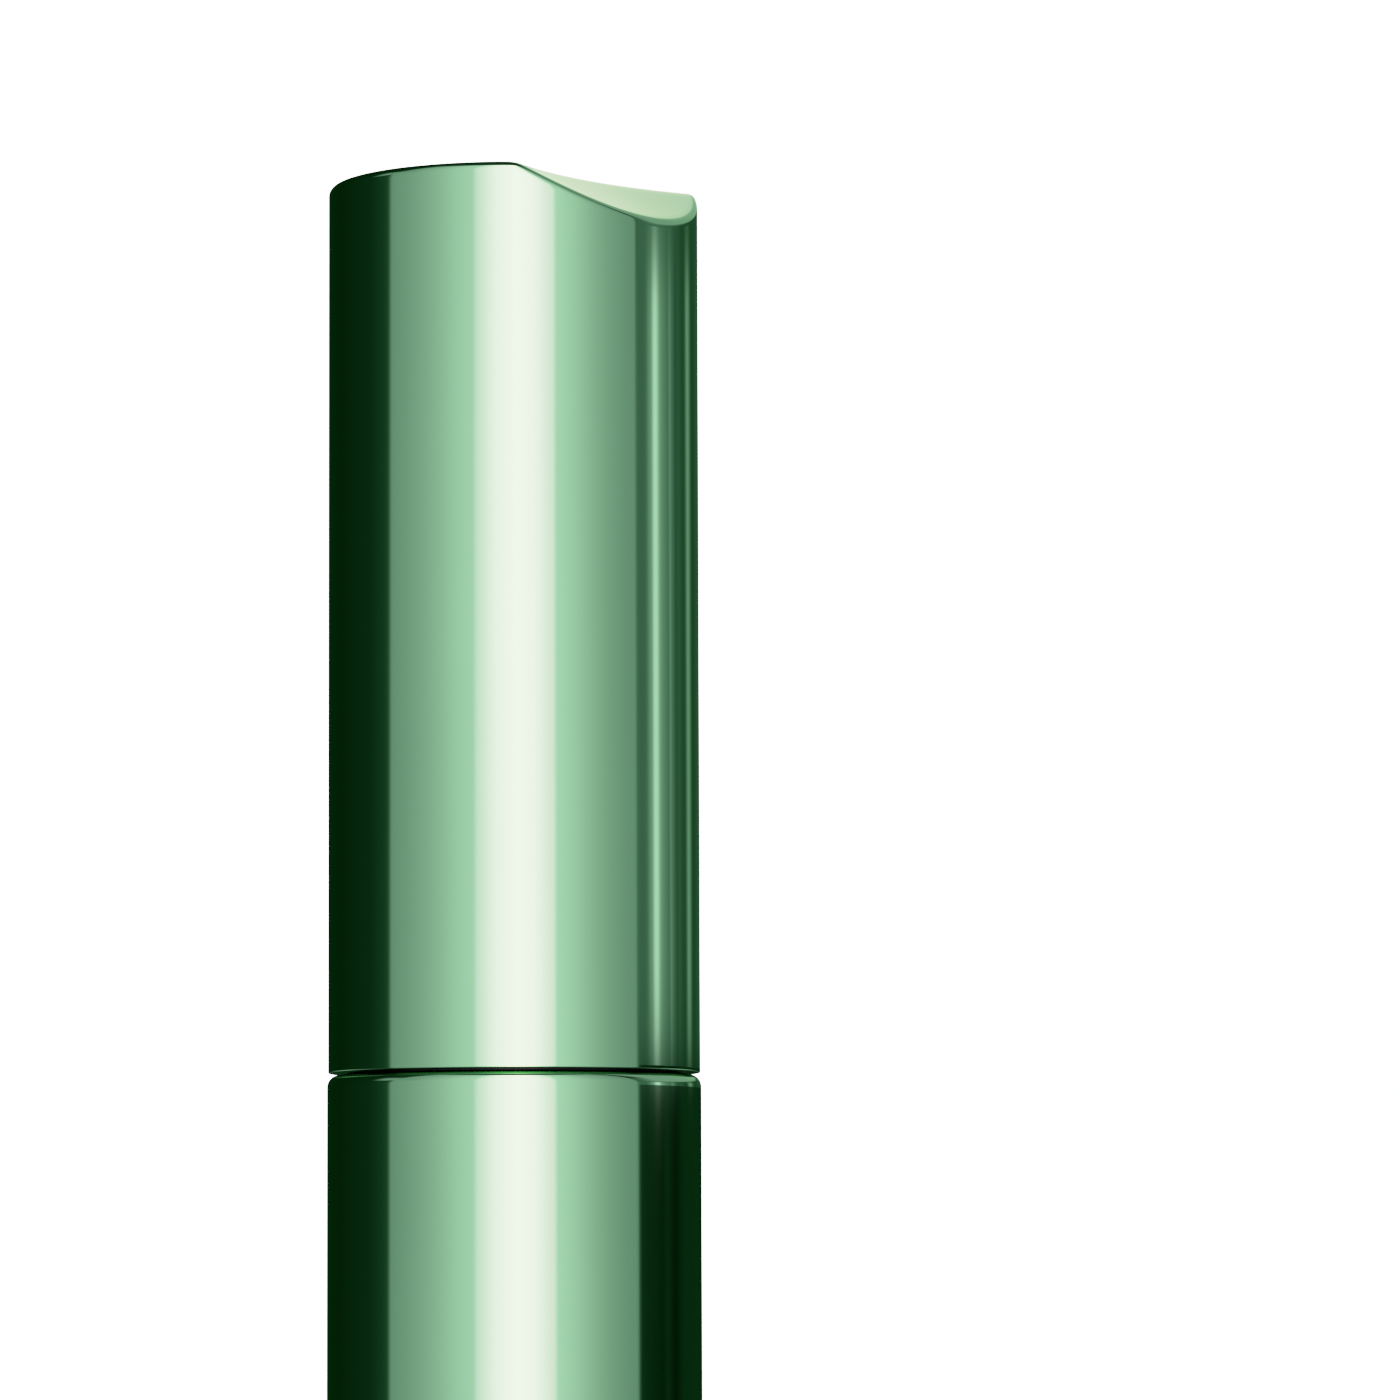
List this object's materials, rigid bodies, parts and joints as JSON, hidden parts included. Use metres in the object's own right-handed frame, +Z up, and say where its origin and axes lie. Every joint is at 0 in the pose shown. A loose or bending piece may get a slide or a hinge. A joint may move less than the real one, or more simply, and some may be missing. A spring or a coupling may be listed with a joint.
{
  "type": "mascara tube",
  "caption": "Slim cylindrical mascara tube in metallic green, with a screw cap cut by a hollow sloped face and a wand with a bowed fibre brush inside.",
  "frame": {"origin": "centre of the base, on the surface that the closed tube stands on", "axes": "+Z up along the tube to the cap; -Y the way the sloped face of the cap looks; +X to its right"},
  "size_m": [0.0186, 0.0186, 0.12],
  "materials": {
    "green_metal": "mirror-bright green anodised metal",
    "green_plastic": "moulded, lightly glossy",
    "label_foil": "blank satin sticker",
    "steel": "turned, lightly oiled",
    "vial_plastic": "natural, slightly milky moulding",
    "black_plastic": "moulded black",
    "wiper_plastic": "soft natural polyethylene",
    "formula": "wet black-brown paste",
    "washer_foam": "closed-cell foam",
    "rod_plastic": "satin black",
    "wire_steel": "drawn stainless wire",
    "bristle": "fine nylon fibres loaded with paste"
  },
  "bodies": {
    "bottle": {"bottle_sleeve": "green_metal", "base_plug": "green_plastic", "base_label": "label_foil", "base_weight": "steel", "inner_vial": "vial_plastic", "neck_collar": "black_plastic", "wiper": "wiper_plastic", "formula": "formula"},
    "seal": {"seal_washer": "washer_foam"},
    "cap_ballast": {"cap_weight": "steel"},
    "cap": {"cap_cover": "green_metal", "cap_liner": "black_plastic", "rod": "rod_plastic", "twisted_wire": "wire_steel", "bristles": "bristle"}
  },
  "joints": [
    {"name": "cap_draw", "type": "slide", "parent": "bottle", "child": "seal", "axis": [0, 0, 1], "range_m": [0, 0.08], "deforming": ["bristles"]},
    {"name": "cap_rise", "type": "slide", "parent": "seal", "child": "cap_ballast", "axis": [0, 0, 1], "range_m": [0, 0.0032]},
    {"name": "cap_turn", "type": "hinge", "parent": "cap_ballast", "child": "cap", "pos_m": [0, 0, 0.09], "axis": [0, 0, 1], "range_deg": [0, 360]}
  ],
  "couplings": [
    {"joint": "cap_rise", "follows": "cap_turn", "m_per_rad": 0.0005093}
  ]
}
